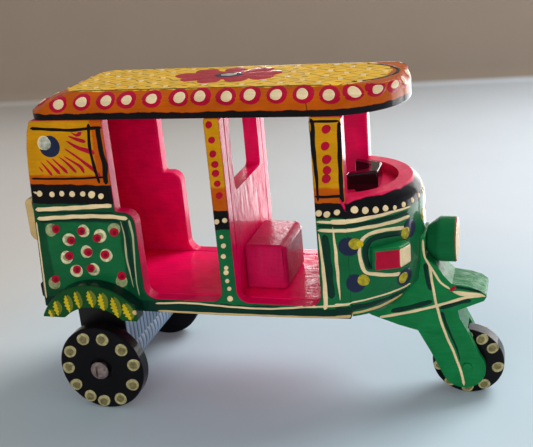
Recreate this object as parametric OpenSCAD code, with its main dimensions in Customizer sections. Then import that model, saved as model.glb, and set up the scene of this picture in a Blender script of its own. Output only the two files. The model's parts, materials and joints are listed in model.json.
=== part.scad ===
// Painted wooden toy auto rickshaw, millimetres.
// +X is forward, +Y is the left side, +Z is up, the floor is Z = 0.
// Stations are distances forward from the rearmost face of the toy.

/* [Body] */
// Width over the two side panels
body_w = 46; // [40:1:56]
// Thickness of a side panel
panel_t = 5; // [3.5:0.5:6]
// Gap from the top of the rear wheels to the underside of the body
ride_gap = 3.7; // [2:0.1:8]
// Thickness of the floor board and height of the sills
sill_h = 4.8; // [3:0.1:7]
// Height of the side panels from body underside to roof
wall_h = 65.2; // [60:0.2:74]
// Station of the front end of the side panels
front_end_s = 110.2; // [108:0.2:113]
// Thickness of the back panel and of the partition
wall_t = 5; // [3.5:0.5:6]
// Station of the lower rear edge of the body
tail_s = 3.6; // [3:0.1:5]
// How far the top of the rear leans forward
rear_lean = 6.4; // [3:0.2:8]
// How far the sills rise towards the front
sill_rise = 1; // [0.2:0.1:1.6]

/* [Door openings] */
// Station of the upper rear edge of the passenger opening
door_rear_s = 35.3; // [33:0.1:37]
// How far the armrest stands forward of that edge
armrest_reach = 6.4; // [3:0.2:8]
// Height of the armrest above the body underside
armrest_h = 35; // [28:0.5:40]
// Station of the rear face of the middle pillar
pillar_s = 68.5; // [65:0.5:72]
// Width of the front pillar
front_pillar_w = 9.4; // [7:0.2:12]
// Radius in the lower corners of the openings
door_r = 4; // [2:0.5:6]

/* [Roof] */
// Thickness of the roof board
roof_t = 7.8; // [6:0.2:11]
// Height of the upright edge of the roof
roof_edge_h = 2; // [1:0.2:3.5]
// How far the sides of the roof slope in
roof_bevel = 7.4; // [3:0.2:10]
// Station of the rear edge of the roof
roof_rear_s = 9.2; // [7:0.2:10]
// How far the rear of the roof slopes in
roof_rear_bevel = 11; // [4:0.2:14]
// How far the rear corners of the roof slope in
roof_corner_bevel = 13.4; // [8:0.2:18]
// How far the rounded front of the roof slopes in
roof_front_bevel = 2.6; // [1:0.2:6]
// Rounding of the rear corners of the roof, seen from above
roof_corner_r = 7; // [2:0.5:10]
// How far the rounded front of the roof stands forward of the panels
roof_overhang = 17; // [14:0.5:19]

/* [Nose] */
// Height of the nose above the body underside
nose_h = 40.3; // [38:0.1:44]
// How far the nose stands forward of the side panels
nose_reach = 20.4; // [19:0.1:23]
// How far the rounded shoulder runs back at the rim
shoulder_back = 3.6; // [3:0.2:6]
// Depth of the well behind the rim
well_depth = 3; // [2:0.2:8]
// Width of the rim
rim_w = 4.4; // [3:0.2:6]
// Width of the handlebar block over the ends of its arms
dash_w = 18; // [14:0.5:21]
// Width of the handlebar block at its front
dash_front_w = 9; // [7:0.5:12]
// Length of the handlebar block
dash_len = 9; // [7:0.2:10]
// Thickness of its arms
dash_arm_t = 2.8; // [2:0.1:3.4]
// Height of the handlebar block above the rim
dash_rise = 3; // [2:0.2:7]

/* [Fork and lamps] */
// Thickness of the fork board
fork_t = 13; // [12:0.2:16]
// Width of the slot for the front wheel
fork_slot = 7.2; // [6.8:0.1:8]
// Radius of the rounded leg ends
leg_end_r = 7; // [5.5:0.1:8]
// Radius of the headlamp
lamp_r = 7.2; // [6:0.1:8.5]
// Length of the headlamp
lamp_len = 9.4; // [7:0.2:12]
// Height of the headlamp's axis above the body underside
lamp_h = 19.5; // [18:0.1:22]
// Height of a side lamp
side_lamp_h = 6.9; // [5:0.1:9]
// Height of a side lamp above the body underside
side_lamp_z = 17.8; // [14:0.1:22]
// How far the corner of a side lamp stands out of the nose
side_lamp_out = 4.6; // [2:0.2:6]
// Where a side lamp begins round the nose, in degrees from the side
side_lamp_turn = 23; // [10:1:27]
// How far a side lamp runs round the nose, in degrees
side_lamp_arc = 30; // [20:1:36]
// Height of a tail lamp
tail_lamp_h = 15; // [10:0.5:18]
// Width of a tail lamp
tail_lamp_w = 5.5; // [4:0.5:8]
// Height of a tail lamp above the body underside
tail_lamp_z = 23; // [18:0.5:30]
// How far a tail lamp stands out
tail_lamp_out = 4; // [2:0.2:5]
// Height of the rear bumper
bumper_h = 7; // [5:0.2:9]

/* [Seats] */
// Width of the driver seat
seat_w = 24; // [18:0.5:30]
// Depth of the driver seat
seat_d = 14; // [10:0.5:18]
// Height of the driver seat
seat_h = 15.4; // [10:0.2:20]
// Rounding of the seat edges
seat_r = 2.4; // [1:0.2:4]
// Depth of the rear seat
bench_d = 14; // [12:0.2:22]
// Height of the rear seat
bench_h = 10.8; // [8:0.2:15]
// Half width of the window in the partition
window_half_w = 14; // [10:0.2:15]
// Height of the window sill above the floor
window_sill_h = 34.7; // [28:0.2:44]

/* [Running gear] */
// Radius of a rear wheel
rear_wheel_r = 15.15; // [13:0.05:18]
// Thickness of a rear wheel
rear_wheel_t = 5.5; // [4.5:0.1:7]
// Station of the rear axle
rear_axle_s = 25; // [24:0.2:28]
// Gap between the body side and a rear wheel
wheel_gap = 1.3; // [0.8:0.1:2.5]
// Radius of the turned axle drum
drum_r = 7; // [5.5:0.1:8]
// Pitch of the grooves round the drum and down the axle block
groove_pitch = 2.7; // [2:0.1:3.5]
// Depth of the grooves
groove_d = 0.5; // [0.2:0.05:0.7]
// Radius of a front wheel
front_wheel_r = 11.5; // [10:0.1:12.5]
// Thickness of the front wheel
front_wheel_t = 6; // [5:0.1:6.4]
// How far the front axle lies forward of the side panels
fork_reach = 33.6; // [31:0.2:36]
// Radius of the front axle pin
pin_r = 1.5; // [1.2:0.1:2]
// Radius of a screw shank
shank_r = 2; // [1.6:0.1:2.4]
// Radius of a screw head
head_r = 3.2; // [2.8:0.05:4]
// Height of a screw head
head_h = 1.9; // [1.4:0.1:3]
// Gap between a screw head and the wheel
head_gap = 1.2; // [0.3:0.1:2]
// Depth of the screw in the axle drum
screw_in = 8; // [6:0.5:12]
// Thickness of a fender
fender_t = 5.6; // [4:0.2:7]
// Radius of the top of a fender
fender_r = 20.6; // [20:0.1:22]
// Radius of the wheel arch in a fender
arch_r = 15.3; // [13:0.1:16.5]
// Height of the wheel arch in a fender
arch_h = 4.2; // [3:0.1:5]
// How far a fender reaches forward of the axle
fender_reach = 16; // [13:0.2:17]
// Length of the axle block behind the axle
block_back = 10; // [8:0.2:11]
// Half length of the axle block across the body
block_half_w = 21; // [19:0.5:22]

/* [Hidden] */
$fn = 96;
over = 1;
// Thickness of the thin slices that shells are drawn round
slice_t = 0.01;
seat_gap = 0.2;
run_fit = 0.05;
// Depth of the recess under a screw head
recess_d = 0.8;
side_play = 0.3;
// How far outside the rounded corners and front of the roof their slopes start
slope_out = 0.4;
// How deep the fork board is let into the nose, and its step behind the headlamp
fork_sunk = 5;
lamp_seat = 0.6;
// Length and back radius of the headlamp's cone, and the joint under it
lamp_cone = lamp_len * 0.41;
lamp_back_r = lamp_r * 0.56;
lamp_room = 0.1;
// How far the fenders hang below the body underside
fender_drop = 1;
// How deep a side lamp is let into the nose
side_lamp_sunk = 4;

front_axle_s = front_end_s + fork_reach;
door_front_s = front_end_s - front_pillar_w;
nose_s = front_end_s + nose_reach;
overall_len = front_axle_s + front_wheel_r;
half_w = body_w / 2;
inner_half_w = half_w - panel_t;
base_z = 2 * rear_wheel_r + ride_gap;
floor_z = base_z + sill_h;
wall_z = base_z + wall_h;
roof_z = wall_z + roof_t;
rim_z = base_z + nose_h;
armrest_z = base_z + armrest_h;
pillar_front_s = pillar_s + wall_t;
wheel_in_y = half_w + wheel_gap;
drum_end_y = wheel_in_y - side_play;
groove_n = floor(2 * (drum_end_y - 1) / groove_pitch);
groove_first = -groove_n * groove_pitch / 2;

// Rear line of the body: share of the wall height, share of the lean
REAR_SHARES = [[0, 0], [0.27, 0.19], [0.55, 0.36], [0.74, 0.47], [0.86, 0.6], [0.94, 0.77], [1, 1]];
// The same line as height above the body underside and station
REAR = [for (p = REAR_SHARES) [p[0] * wall_h, tail_s + p[1] * rear_lean]];
function rear_s(h) = lookup(h, REAR);

wood_red = [0.78, 0.05, 0.22];
wood_green = [0.06, 0.3, 0.14];
wood_yellow = [0.85, 0.58, 0.1];
wood_orange = [0.85, 0.36, 0.06];
wood_black = [0.05, 0.05, 0.06];
wood_cream = [0.86, 0.76, 0.58];
metal_grey = [0.66, 0.68, 0.7];

// Move a shape drawn by stations into the frame of the part
module in_frame() {
    translate([-overall_len / 2, 0, 0]) children();
}

// Stretch a drawing of station and height from y0 to y1
module along_y(y0, y1) {
    translate([0, y1, 0]) rotate([90, 0, 0]) linear_extrude(height = y1 - y0) children();
}

// Turn a shape standing on Z so that it runs along +Y from y0
module axle_at(s, y0, z) {
    translate([s, y0, z]) rotate([-90, 0, 0]) children();
}

// Rectangle with round lower corners, used for the openings
module round_foot(s0, s1, z0, z1, r) {
    translate([s0, z0 + r]) square([s1 - s0, z1 - z0 - r]);
    translate([s0 + r, z0]) square([s1 - s0 - 2 * r, r + over]);
    translate([s0 + r, z0 + r]) circle(r = r);
    translate([s1 - r, z0 + r]) circle(r = r);
}

// Rectangle with four round corners
module round_rect(x0, x1, y0, y1, r) {
    translate([x0 + r, y0]) square([x1 - x0 - 2 * r, y1 - y0]);
    translate([x0, y0 + r]) square([x1 - x0, y1 - y0 - 2 * r]);
    for (x = [x0 + r, x1 - r]) {
        for (y = [y0 + r, y1 - r]) {
            translate([x, y]) circle(r = r);
        }
    }
}

// Outline of a side panel in station and height
module panel_outline() {
    armrest_s = door_rear_s + armrest_reach;
    arm_r = min(armrest_reach - over, 4);
    difference() {
        polygon(concat(
            [for (p = REAR) [p[1], base_z + p[0]]],
            [[front_end_s, wall_z], [front_end_s, base_z + sill_rise], [pillar_s, base_z]]));
        // passenger opening below and above the armrest
        round_foot(armrest_s, pillar_s, floor_z, wall_z + over, door_r);
        translate([door_rear_s, armrest_z]) square([pillar_s - door_rear_s, wall_z]);
        // rounded front of the armrest
        difference() {
            translate([armrest_s - arm_r, armrest_z - arm_r]) square([arm_r + over, arm_r + over]);
            translate([armrest_s - arm_r, armrest_z - arm_r]) circle(r = arm_r);
        }
        // driver opening
        round_foot(pillar_front_s, door_front_s, floor_z, wall_z + over, door_r);
    }
}

module side_panel(side) {
    y0 = side > 0 ? inner_half_w : -half_w;
    in_frame() along_y(y0, y0 + panel_t) panel_outline();
}

module side_panel_left() {
    color(wood_green) side_panel(1);
}

module side_panel_right() {
    color(wood_green) side_panel(-1);
}

module floor_board() {
    color(wood_red) in_frame() {
        translate([rear_s(sill_h) + wall_t, -inner_half_w, base_z + sill_rise])
            cube([front_end_s - rear_s(sill_h) - wall_t, 2 * inner_half_w, sill_h - sill_rise]);
    }
}

module back_panel() {
    n = len(REAR);
    color(wood_green) in_frame() along_y(-inner_half_w, inner_half_w) {
        polygon(concat(
            [for (p = REAR) [p[1], base_z + p[0]]],
            [for (i = [n - 1:-1:0]) [REAR[i][1] + wall_t, base_z + REAR[i][0]]]));
    }
}

module partition() {
    top_rail = 3;
    color(wood_red) in_frame() difference() {
        translate([pillar_s, -inner_half_w, floor_z])
            cube([wall_t, 2 * inner_half_w, wall_z - floor_z]);
        translate([pillar_s - over, 0, 0]) rotate([90, 0, 90]) linear_extrude(height = wall_t + 2 * over)
            round_rect(-min(window_half_w, inner_half_w - 2), min(window_half_w, inner_half_w - 2),
                floor_z + window_sill_h, wall_z - top_rail, 2);
    }
}

module roof_plan() {
    nose_c = front_end_s + roof_overhang - half_w;
    r = roof_corner_r;
    translate([roof_rear_s, -half_w + r]) square([nose_c - roof_rear_s, body_w - 2 * r]);
    translate([roof_rear_s + r, -half_w]) square([nose_c - roof_rear_s - r, body_w]);
    for (y = [-half_w + r, half_w - r]) {
        translate([roof_rear_s + r, y]) circle(r = r);
    }
    translate([nose_c, 0]) circle(r = half_w);
}

// Roof from an edge inwards, in distance and height
module slope_profile(bevel) {
    edge_z = wall_z + roof_edge_h;
    polygon([[0, wall_z], [0, edge_z], [bevel * 0.36, edge_z + (roof_t - roof_edge_h) * 0.55],
        [bevel, roof_z], [2 * overall_len, roof_z], [2 * overall_len, wall_z]]);
}

// What lies inside the slope of one edge, which starts at a point and runs in at an angle
module inside_slope(s, y, angle, bevel) {
    translate([s, y, 0]) rotate([0, 0, angle]) along_y(-overall_len, overall_len) slope_profile(bevel);
}

module roof() {
    corner = roof_corner_r * (1 - sqrt(0.5)) - slope_out;
    color(wood_orange) in_frame() intersection() {
        translate([0, 0, wall_z]) linear_extrude(height = roof_t) roof_plan();
        inside_slope(roof_rear_s, 0, 0, roof_rear_bevel);
        inside_slope(0, half_w, -90, roof_bevel);
        inside_slope(0, -half_w, 90, roof_bevel);
        inside_slope(roof_rear_s + corner, half_w - corner, -45, roof_corner_bevel);
        inside_slope(roof_rear_s + corner, corner - half_w, 45, roof_corner_bevel);
        inside_slope(front_end_s + roof_overhang + slope_out, 0, 180, roof_front_bevel + slope_out);
    }
}

module driver_seat() {
    s0 = pillar_front_s;
    color(wood_red) in_frame() intersection() {
        translate([s0, -seat_w / 2, floor_z]) cube([seat_d, seat_w, seat_h]);
        // rounded front upper edge
        along_y(-seat_w, seat_w) union() {
            translate([s0, floor_z]) square([seat_d - seat_r, seat_h]);
            translate([s0, floor_z]) square([seat_d, seat_h - seat_r]);
            translate([s0 + seat_d - seat_r, floor_z + seat_h - seat_r]) circle(r = seat_r);
        }
        // rounded upright front edges
        translate([0, 0, floor_z]) linear_extrude(height = seat_h)
            round_rect(s0 - 2 * seat_r, s0 + seat_d, -seat_w / 2, seat_w / 2, seat_r);
    }
}

module rear_seat() {
    s0 = rear_s(sill_h + bench_h) + wall_t;
    color(wood_red) in_frame() along_y(-inner_half_w, inner_half_w) {
        translate([s0, floor_z]) square([bench_d - seat_r, bench_h]);
        translate([s0, floor_z]) square([bench_d, bench_h - seat_r]);
        translate([s0 + bench_d - seat_r, floor_z + bench_h - seat_r]) circle(r = seat_r);
    }
}

// Outside of the nose, as round slices
module nose_outside() {
    // how far back from the front, share of the height, radius
    slices = [
        [nose_reach * 0.33, sill_rise / nose_h, half_w - 0.6],
        [nose_reach * 0.04, 0.2, half_w],
        [0, 0.34, half_w],
        [0, 0.8, half_w],
        [shoulder_back * 0.1, 0.88, half_w],
        [shoulder_back * 0.38, 0.945, half_w],
        [shoulder_back, 1, half_w - 1]];
    hull() {
        for (p = slices) {
            translate([nose_s - p[0] - p[2], 0, base_z + p[1] * nose_h])
                cylinder(h = slice_t, r = p[2], $fn = 72);
        }
    }
}

// Side view of the fork board. Shares are of fork_reach, forward from the side panels,
// and of the height from the front axle to the body underside.
module fork_side() {
    leg_h = base_z - front_wheel_r;
    end_s = front_axle_s - leg_end_r * 0.17;
    end_z = front_wheel_r - leg_end_r * 0.11;
    seat_s = nose_s + lamp_seat;
    lamp_mid_z = base_z + lamp_h;
    // keel under the body and back edge of the leg
    keel = [[-0.18, 1], [0.09, 0.76], [0.357, 0.618], [0.536, 0.547], [0.655, 0.213]];
    // front edge of the leg, then round the mudguard and up the neck
    beak = [[1.113, 0.196], [1.024, 0.507], [0.932, 0.778], [0.914, 0.893], [1.065, 0.996], [1.155, 1.058],
        [1.179, 1.12], [1.172, 1.16], [1.119, 1.213], [1.024, 1.267], [0.863, 1.298], [0.786, 1.427]];
    function at(p) = [front_end_s + p[0] * fork_reach, front_wheel_r + p[1] * leg_h];
    union() {
        polygon(concat(
            [for (p = keel) at(p)],
            [[end_s - leg_end_r * 0.89, end_z - leg_end_r * 0.46], [end_s, end_z], [end_s + leg_end_r, end_z]],
            [for (p = beak) at(p)],
            // along the underside of the headlamp's cone to its seat
            [[seat_s + lamp_cone, lamp_mid_z - lamp_r - lamp_room],
            [seat_s, lamp_mid_z - lamp_back_r - lamp_room], [seat_s, lamp_mid_z + lamp_r * 0.4],
            [nose_s - fork_sunk, lamp_mid_z + lamp_r * 0.4], [nose_s - fork_sunk, base_z + fork_sunk],
            [front_end_s, base_z + fork_sunk], [front_end_s, base_z + sill_rise],
            [front_end_s - 0.18 * fork_reach, base_z + sill_rise]]));
        translate([end_s, end_z]) circle(r = leg_end_r);
    }
}

module front_fork() {
    wheel_room = 1.2;
    room_r = front_wheel_r + wheel_room;
    color(wood_green) in_frame() difference() {
        along_y(-fork_t / 2, fork_t / 2) fork_side();
        // room for the wheel
        axle_at(front_axle_s, -fork_slot / 2, front_wheel_r) cylinder(h = fork_slot, r = room_r);
        translate([front_axle_s - room_r, -fork_slot / 2, -over])
            cube([2 * room_r, fork_slot, front_wheel_r + over]);
        // bore for the pin
        axle_at(front_axle_s, -fork_t, front_wheel_r) cylinder(h = 2 * fork_t, r = pin_r);
    }
}

// Right side lamp: a block with two outer faces, bent round the nose and let into it
module side_lamp_box() {
    end_a = side_lamp_turn + side_lamp_arc;
    in_r = half_w - side_lamp_sunk;
    // angle round the nose, distance from the middle of the nose
    corners = [
        [side_lamp_turn, half_w + side_lamp_out * 0.61],
        [side_lamp_turn + side_lamp_arc * 0.61, half_w + side_lamp_out],
        [end_a, half_w + side_lamp_out * 0.63],
        [end_a, in_r],
        [side_lamp_turn, in_r]];
    translate([nose_s - half_w, 0, base_z + side_lamp_z]) linear_extrude(height = side_lamp_h)
        polygon([for (c = corners) [c[1] * sin(c[0]), -c[1] * cos(c[0])]]);
}

module nose() {
    well_r = half_w - 1 - rim_w;
    color(wood_green) in_frame() difference() {
        intersection() {
            nose_outside();
            translate([front_end_s, -body_w, base_z]) cube([body_w, 2 * body_w, nose_h]);
        }
        // round well behind the rim
        translate([nose_s - shoulder_back - rim_w - well_r, 0, rim_z - well_depth])
            cylinder(h = well_depth + over, r = well_r);
        // housings for the fork board and the side lamps
        along_y(-fork_t / 2, fork_t / 2) fork_side();
        side_lamp_box();
        mirror([0, 1, 0]) side_lamp_box();
    }
}

// Handlebar block: arms swept back from a short front bar, seen from above
module dash_plan() {
    s1 = front_end_s + dash_len * 0.75;
    s0 = s1 - dash_len;
    bar_s = s1 - dash_arm_t * 1.2;
    arm_y = dash_arm_t * 1.12;
    // half widths of the notch at its rear and at the bar
    rear_y = dash_w / 2 - arm_y;
    bar_y = dash_front_w / 2 + (dash_w - dash_front_w) / 2 * dash_arm_t * 1.2 / dash_len - arm_y;
    soft = bar_y * 0.5;
    difference() {
        polygon([[s0, -dash_w / 2], [s1, -dash_front_w / 2], [s1, dash_front_w / 2], [s0, dash_w / 2]]);
        polygon([[s0 - over, -rear_y], [s0, -rear_y], [bar_s - soft, -bar_y], [bar_s, -soft], [bar_s, soft],
            [bar_s - soft, bar_y], [s0, rear_y], [s0 - over, rear_y]]);
    }
}

module dash() {
    arm_h = min(dash_arm_t * 1.8, (well_depth + dash_rise) * 0.9);
    color(wood_black) in_frame() difference() {
        translate([0, 0, rim_z - well_depth]) linear_extrude(height = well_depth + dash_rise) dash_plan();
        // the arms stand clear of the cabin behind the nose
        translate([front_end_s - dash_len, -dash_w, rim_z - well_depth - over])
            cube([dash_len, 2 * dash_w, over + well_depth + dash_rise - arm_h]);
    }
}

module headlamp() {
    color(wood_green) in_frame() translate([nose_s + lamp_seat, 0, base_z + lamp_h]) rotate([0, 90, 0]) {
        cylinder(h = lamp_cone, r1 = lamp_back_r, r2 = lamp_r);
        translate([0, 0, lamp_cone]) cylinder(h = lamp_len - lamp_cone, r = lamp_r);
    }
}

module side_lamp_left() {
    color(wood_cream) in_frame() mirror([0, 1, 0]) side_lamp_box();
}

module side_lamp_right() {
    color(wood_cream) in_frame() side_lamp_box();
}

module fender_side() {
    foot_z = base_z - fender_drop;
    mid_s = rear_axle_s - 0.6;
    difference() {
        translate([mid_s, foot_z + arch_h * 2.9 - fender_r]) circle(r = fender_r);
        translate([mid_s - body_w, foot_z - body_w]) square([2 * body_w, body_w]);
        translate([mid_s + fender_reach, foot_z - over]) square([body_w, body_w]);
        translate([mid_s, foot_z + arch_h - arch_r]) circle(r = arch_r);
    }
}

module fender_left() {
    color(wood_green) in_frame() along_y(half_w, half_w + fender_t) fender_side();
}

module fender_right() {
    color(wood_green) in_frame() along_y(-half_w - fender_t, -half_w) fender_side();
}

// Block over the drum, its grooved front flush with the drum's
module axle_block() {
    low_z = rear_wheel_r + drum_r * 0.45;
    back_s = rear_axle_s - block_back;
    front_s = rear_axle_s + drum_r;
    color(wood_black) in_frame() difference() {
        union() {
            translate([back_s, -inner_half_w, low_z])
                cube([front_s - back_s, 2 * inner_half_w, base_z + sill_rise - low_z]);
            translate([back_s, -block_half_w, low_z])
                cube([front_s - back_s, 2 * block_half_w, base_z - low_z]);
        }
        axle_at(rear_axle_s, -body_w, rear_wheel_r) cylinder(h = 2 * body_w, r = drum_r + seat_gap);
        for (i = [0:groove_n - 1]) {
            y = groove_first + (i + 0.8) * groove_pitch;
            if (abs(y) < block_half_w - groove_pitch / 2)
                translate([front_s, y, low_z - over]) linear_extrude(height = base_z - low_z + 3 * over)
                    polygon([[groove_d, -0.4 * groove_pitch], [groove_d, 0.4 * groove_pitch], [-groove_d, 0]]);
        }
    }
}

module rear_axle() {
    // saw profile of the turned grooves: radius and distance along the axle
    ridges = [for (i = [0:groove_n - 1]) each [
        [drum_r, groove_first + i * groove_pitch],
        [drum_r, groove_first + (i + 0.6) * groove_pitch],
        [drum_r - groove_d, groove_first + (i + 0.8) * groove_pitch]]];
    color(metal_grey) in_frame() difference() {
        axle_at(rear_axle_s, 0, rear_wheel_r) rotate_extrude()
            polygon(concat(
                [[0, -drum_end_y], [drum_r, -drum_end_y]], ridges, [[drum_r, drum_end_y], [0, drum_end_y]]));
        for (y = [-drum_end_y - over, drum_end_y - screw_in]) {
            axle_at(rear_axle_s, y, rear_wheel_r) cylinder(h = screw_in + over, r = shank_r);
        }
    }
}

// Rear wheel drawn with its outer face at +Y
module rear_wheel() {
    edge = 0.9;
    recess_r = head_r + 0.6;
    difference() {
        rotate_extrude() {
            square([rear_wheel_r - edge, rear_wheel_t]);
            translate([0, edge]) square([rear_wheel_r, rear_wheel_t - 2 * edge]);
            translate([rear_wheel_r - edge, edge]) circle(r = edge);
            translate([rear_wheel_r - edge, rear_wheel_t - edge]) circle(r = edge);
        }
        translate([0, 0, -over]) cylinder(h = rear_wheel_t + 2 * over, r = shank_r + run_fit);
        translate([0, 0, rear_wheel_t - recess_d]) cylinder(h = recess_d + over, r = recess_r);
    }
}

module wheel_rear_left() {
    color(wood_black) in_frame() axle_at(rear_axle_s, wheel_in_y, rear_wheel_r) rear_wheel();
}

module wheel_rear_right() {
    color(wood_black) in_frame() mirror([0, 1, 0])
        axle_at(rear_axle_s, wheel_in_y, rear_wheel_r) rear_wheel();
}

// Slotted round-head screw, shank from the drum end outwards
module screw() {
    head_z = rear_wheel_t + head_gap;
    ball_r = (head_r * head_r + head_h * head_h) / (2 * head_h);
    difference() {
        union() {
            translate([0, 0, -side_play - screw_in])
                cylinder(h = screw_in + side_play + head_z + 0.2, r = shank_r);
            intersection() {
                translate([0, 0, head_z + head_h - ball_r]) sphere(r = ball_r);
                translate([0, 0, head_z]) cylinder(h = head_h, r = head_r + over);
            }
        }
        translate([-0.45, -head_r - over, head_z + head_h - 0.9]) cube([0.9, 2 * head_r + 2 * over, over + 1]);
    }
}

module screw_left() {
    color(metal_grey) in_frame() axle_at(rear_axle_s, wheel_in_y, rear_wheel_r) screw();
}

module screw_right() {
    color(metal_grey) in_frame() mirror([0, 1, 0])
        axle_at(rear_axle_s, wheel_in_y, rear_wheel_r) screw();
}

module wheel_front() {
    edge = 0.8;
    color(wood_black) in_frame() axle_at(front_axle_s, -front_wheel_t / 2, front_wheel_r) difference() {
        rotate_extrude() {
            square([front_wheel_r - edge, front_wheel_t]);
            translate([0, edge]) square([front_wheel_r, front_wheel_t - 2 * edge]);
            translate([front_wheel_r - edge, edge]) circle(r = edge);
            translate([front_wheel_r - edge, front_wheel_t - edge]) circle(r = edge);
        }
        translate([0, 0, -over]) cylinder(h = front_wheel_t + 2 * over, r = pin_r + run_fit);
    }
}

module front_axle_pin() {
    proud = 0.4;
    color(metal_grey) in_frame() axle_at(front_axle_s, -fork_t / 2 - proud, front_wheel_r)
        cylinder(h = fork_t + 2 * proud, r = pin_r);
}

// Tail lamp with rounded ends, the lower one fuller
module tail_lamp(side) {
    mid_y = side * (half_w - tail_lamp_w);
    z0 = base_z + tail_lamp_z;
    z1 = z0 + tail_lamp_h;
    back_s = rear_s(tail_lamp_z) - tail_lamp_out;
    low_r = tail_lamp_out * 0.75;
    top_r = tail_lamp_out * 0.48;
    in_frame() along_y(mid_y - tail_lamp_w / 2, mid_y + tail_lamp_w / 2) {
        polygon([[back_s + low_r, z0], [rear_s(tail_lamp_z), z0], [rear_s(tail_lamp_z + tail_lamp_h), z1],
            [back_s + top_r, z1], [back_s, z1 - top_r], [back_s, z0 + low_r]]);
        intersection() {
            translate([back_s + low_r, z0 + low_r]) circle(r = low_r);
            translate([back_s, z0]) square(low_r);
        }
        translate([back_s + top_r, z1 - top_r]) circle(r = top_r);
    }
}

module tail_lamp_left() {
    color(wood_cream) tail_lamp(1);
}

module tail_lamp_right() {
    color(wood_cream) tail_lamp(-1);
}

module rear_bumper() {
    h0 = sill_rise * 0.6;
    color(wood_black) in_frame() along_y(-inner_half_w, inner_half_w)
        polygon([[over, base_z + h0], [rear_s(h0), base_z + h0], [rear_s(bumper_h), base_z + bumper_h],
            [over, base_z + bumper_h], [0, base_z + bumper_h - over], [0, base_z + h0 + over]]);
}

floor_board();
side_panel_left();
side_panel_right();
back_panel();
partition();
roof();
driver_seat();
rear_seat();
nose();
dash();
front_fork();
headlamp();
side_lamp_left();
side_lamp_right();
fender_left();
fender_right();
axle_block();
rear_axle();
screw_left();
screw_right();
wheel_rear_left();
wheel_rear_right();
wheel_front();
front_axle_pin();
tail_lamp_left();
tail_lamp_right();
rear_bumper();
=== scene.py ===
"""Looks of the painted wooden toy auto rickshaw: lacquered boards, ornament, light and camera.

Lengths are metres in the frame of the part. The paint layout is in millimetres: stations run
forward from the rearmost face, heights run up from the floor, and widths run across.
"""
import json
import math
import random

import bmesh
import bpy
from mathutils import Matrix, Vector
from mathutils.bvhtree import BVHTree


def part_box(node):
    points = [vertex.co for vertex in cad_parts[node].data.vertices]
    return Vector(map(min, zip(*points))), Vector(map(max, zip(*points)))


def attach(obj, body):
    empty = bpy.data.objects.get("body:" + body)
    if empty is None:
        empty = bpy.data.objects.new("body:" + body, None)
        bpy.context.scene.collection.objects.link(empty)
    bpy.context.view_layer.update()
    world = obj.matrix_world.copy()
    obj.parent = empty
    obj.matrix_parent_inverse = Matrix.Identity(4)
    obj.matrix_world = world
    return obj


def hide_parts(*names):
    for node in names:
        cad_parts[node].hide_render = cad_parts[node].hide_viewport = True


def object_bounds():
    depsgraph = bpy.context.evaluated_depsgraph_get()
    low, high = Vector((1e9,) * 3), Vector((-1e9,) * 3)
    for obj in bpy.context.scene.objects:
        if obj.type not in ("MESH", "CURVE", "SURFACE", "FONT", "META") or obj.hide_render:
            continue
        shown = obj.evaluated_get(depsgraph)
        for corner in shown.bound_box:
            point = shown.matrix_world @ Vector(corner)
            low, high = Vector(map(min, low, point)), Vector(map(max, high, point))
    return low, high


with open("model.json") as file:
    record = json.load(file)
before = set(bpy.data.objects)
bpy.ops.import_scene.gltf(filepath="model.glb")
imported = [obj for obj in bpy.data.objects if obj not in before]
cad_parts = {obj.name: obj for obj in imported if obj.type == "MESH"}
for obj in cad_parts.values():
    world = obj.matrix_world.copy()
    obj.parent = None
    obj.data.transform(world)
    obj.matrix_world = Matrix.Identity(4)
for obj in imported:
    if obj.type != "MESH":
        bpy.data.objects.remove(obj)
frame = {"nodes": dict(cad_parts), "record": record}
CAD_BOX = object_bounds()

NODES = frame["nodes"]
RECORD = frame["record"]
BODY_OF = {node: body for body, nodes in RECORD["behaviour"]["bodies"].items() for node in nodes}
RNG = random.Random(11)

# Sizes read from the frame
MM = 0.001
REAR_X = CAD_BOX[0].x
HALF_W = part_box("side_panel_left")[1].y
FLOOR_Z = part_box("floor_board")[1].z / MM
WALL_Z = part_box("roof")[0].z / MM
ROOF_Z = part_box("roof")[1].z / MM
RIM_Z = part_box("nose")[1].z / MM
NOSE_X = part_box("nose")[1].x
NOSE_CENTRE_X = NOSE_X - HALF_W
JOINT_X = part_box("side_panel_left")[1].x
ROOF_FRONT_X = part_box("roof")[1].x
ROOF_CENTRE_X = ROOF_FRONT_X - HALF_W
FORK_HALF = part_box("front_fork")[1].y
FENDER_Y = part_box("fender_left")[1].y


def station(x):
    """Station in millimetres of a place in the frame."""
    return (x - REAR_X) / MM


def at(s):
    """Place in the frame of a station in millimetres."""
    return REAR_X + s * MM


# Lacquer colours, linear
RED = (0.80, 0.003, 0.10)
# Crimson of the cabin floor, painted lighter for the light that falls on it
RED_LIT_FLOOR = (0.94, 0.004, 0.11)
# Crimson of the driver's seat, painted darker as painted shade
RED_SHADED_SEAT = (0.50, 0.006, 0.07)
PINK = (0.70, 0.016, 0.085)
DOT_RED = (0.42, 0.003, 0.026)
LAMP_RED = (0.41, 0.002, 0.028)
GREEN = (0.006, 0.115, 0.036)
FRAME_GREEN = (0.004, 0.060, 0.022)
BRIGHT_GREEN = (0.006, 0.165, 0.045)
DARK_GREEN = (0.003, 0.028, 0.017)
FENDER_GREEN = (0.006, 0.062, 0.014)
YELLOW = (0.58, 0.25, 0.002)
ORANGE = (0.49, 0.085, 0.001)
ROOF_YELLOW = (0.92, 0.50, 0.027)
BLACK = (0.0045, 0.0040, 0.0050)
CREAM = (0.80, 0.60, 0.34)
TAN = (0.60, 0.41, 0.17)
LATTICE_OLIVE = (0.09, 0.09, 0.012)
SILVER = (0.32, 0.48, 0.65)
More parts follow.
